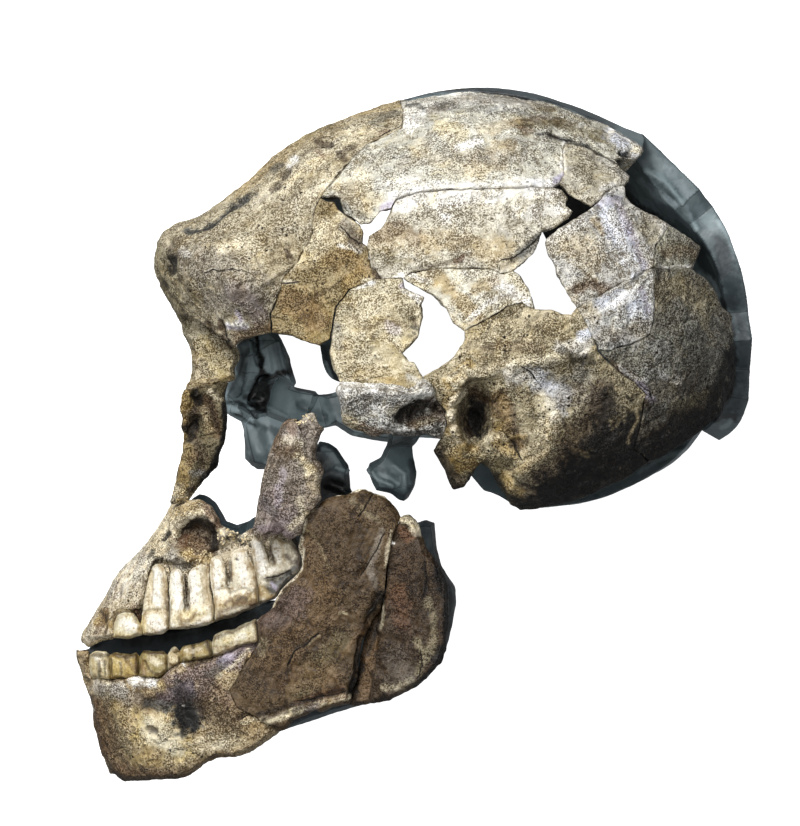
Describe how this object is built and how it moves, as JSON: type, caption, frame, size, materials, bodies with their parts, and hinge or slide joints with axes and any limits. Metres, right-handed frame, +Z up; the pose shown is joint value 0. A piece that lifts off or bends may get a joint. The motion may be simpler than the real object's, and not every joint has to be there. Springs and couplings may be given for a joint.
{
  "type": "fossil hominin skull",
  "caption": "Broken fossil hominin skull with its lower jaw, rebuilt from loose bone fragments on one side and a smooth grey mirror half on the other, lying on its side.",
  "frame": {"origin": "middle of the bounding box on the surface that the skull lies on", "axes": "+Z up out of the bone side, +X towards the back of the head, +Y towards the top of the head"},
  "size_m": [0.186, 0.1916, 0.1183],
  "materials": {
    "pale_bone": "matte",
    "brown_bone": "matte",
    "white_grey_bone": "matte",
    "dark_bone": "matte",
    "tooth": "satin",
    "grey_mirror_half": "satin"
  },
  "bodies": {
    "root": {"frontal_bone": "pale_bone", "parietal_upper": "pale_bone", "parietal_middle": "pale_bone", "parietal_strip": "pale_bone", "parietal_rear_wedge": "pale_bone", "parietal_back": "pale_bone", "parietal_back_lower": "pale_bone", "sphenoid_plate": "brown_bone", "temporal_squama": "pale_bone", "temporal_bone": "brown_bone", "parietal_corner": "brown_bone", "occipital_bone": "brown_bone", "zygomatic_process": "white_grey_bone", "nasal_process": "brown_bone", "maxilla": "pale_bone", "mandible_body": "brown_bone", "ramus_plate": "dark_bone", "ramus_rear_piece": "dark_bone", "coronoid_piece": "dark_bone", "upper_canine": "tooth", "upper_premolar": "tooth", "upper_first_molar": "tooth", "upper_second_molar": "tooth", "upper_third_molar": "tooth", "lower_incisor": "tooth", "lower_canine": "tooth", "lower_premolar": "tooth", "lower_second_premolar": "tooth", "lower_first_molar": "tooth", "lower_second_molar": "tooth", "far_braincase": "grey_mirror_half", "far_nasal_process": "grey_mirror_half", "far_maxilla": "grey_mirror_half", "far_mandible": "grey_mirror_half", "far_zygomatic_arch": "grey_mirror_half", "far_orbit_wall": "grey_mirror_half", "far_pterygoid": "grey_mirror_half"}
  },
  "joints": []
}
